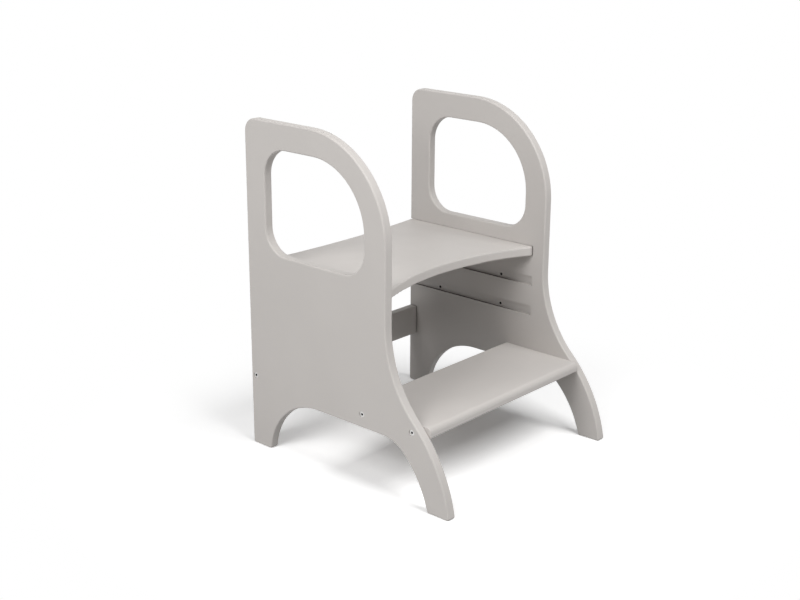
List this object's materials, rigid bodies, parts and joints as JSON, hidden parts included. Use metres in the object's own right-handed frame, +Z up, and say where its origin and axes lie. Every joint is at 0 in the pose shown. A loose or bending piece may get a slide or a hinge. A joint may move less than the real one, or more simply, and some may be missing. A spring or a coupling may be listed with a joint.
{
  "type": "toddler step stool",
  "caption": "Child's kitchen step stool: arched side panels with handle windows, a grooved height-adjustable platform with a hollowed front edge, a fixed lower step and a rear rail.",
  "frame": {"origin": "on the floor, at the middle of the stool's overall width and depth", "axes": "+Z up, +X to the stool's right for someone who stands on it and looks to the rear, -Y to the front, where the lower step is; azimuth 0 looks along +Y"},
  "size_m": [0.415, 0.4334, 0.558],
  "materials": {
    "lacquered_board": "matt lacquer, warm light grey",
    "zinc_plated_steel": "bright zinc plating",
    "die_cast_zinc": "plain die-cast zinc",
    "beech": "plain turned beech"
  },
  "bodies": {
    "stool": {"right_side_panel": "lacquered_board", "left_side_panel": "lacquered_board", "platform": "lacquered_board", "lower_step": "lacquered_board", "rear_rail": "lacquered_board", "step_screw_rear_right": "zinc_plated_steel", "step_screw_rear_left": "zinc_plated_steel", "step_screw_front_right": "zinc_plated_steel", "step_screw_front_left": "zinc_plated_steel", "rail_screw_right": "zinc_plated_steel", "rail_screw_left": "zinc_plated_steel", "rail_dowel_lower_right": "beech", "rail_dowel_lower_left": "beech", "rail_dowel_upper_right": "beech", "rail_dowel_upper_left": "beech", "cam_bolt_rear_right": "zinc_plated_steel", "cam_bolt_rear_left": "zinc_plated_steel", "cam_bolt_front_right": "zinc_plated_steel", "cam_bolt_front_left": "zinc_plated_steel"},
    "cam_rear_right": {"cam_rear_right": "die_cast_zinc"},
    "cam_rear_left": {"cam_rear_left": "die_cast_zinc"},
    "cam_front_right": {"cam_front_right": "die_cast_zinc"},
    "cam_front_left": {"cam_front_left": "die_cast_zinc"}
  },
  "joints": [
    {"name": "cam_rear_right_turn", "type": "hinge", "parent": "stool", "child": "cam_rear_right", "pos_m": [0.172, 0.14675, 0.306], "axis": [0, 0, 1], "range_deg": [-195, 0]},
    {"name": "cam_rear_left_turn", "type": "hinge", "parent": "stool", "child": "cam_rear_left", "pos_m": [-0.172, 0.14675, 0.306], "axis": [0, 0, 1], "range_deg": [-195, 0]},
    {"name": "cam_front_right_turn", "type": "hinge", "parent": "stool", "child": "cam_front_right", "pos_m": [0.172, 0.00675, 0.306], "axis": [0, 0, 1], "range_deg": [-195, 0]},
    {"name": "cam_front_left_turn", "type": "hinge", "parent": "stool", "child": "cam_front_left", "pos_m": [-0.172, 0.00675, 0.306], "axis": [0, 0, 1], "range_deg": [-195, 0]}
  ]
}
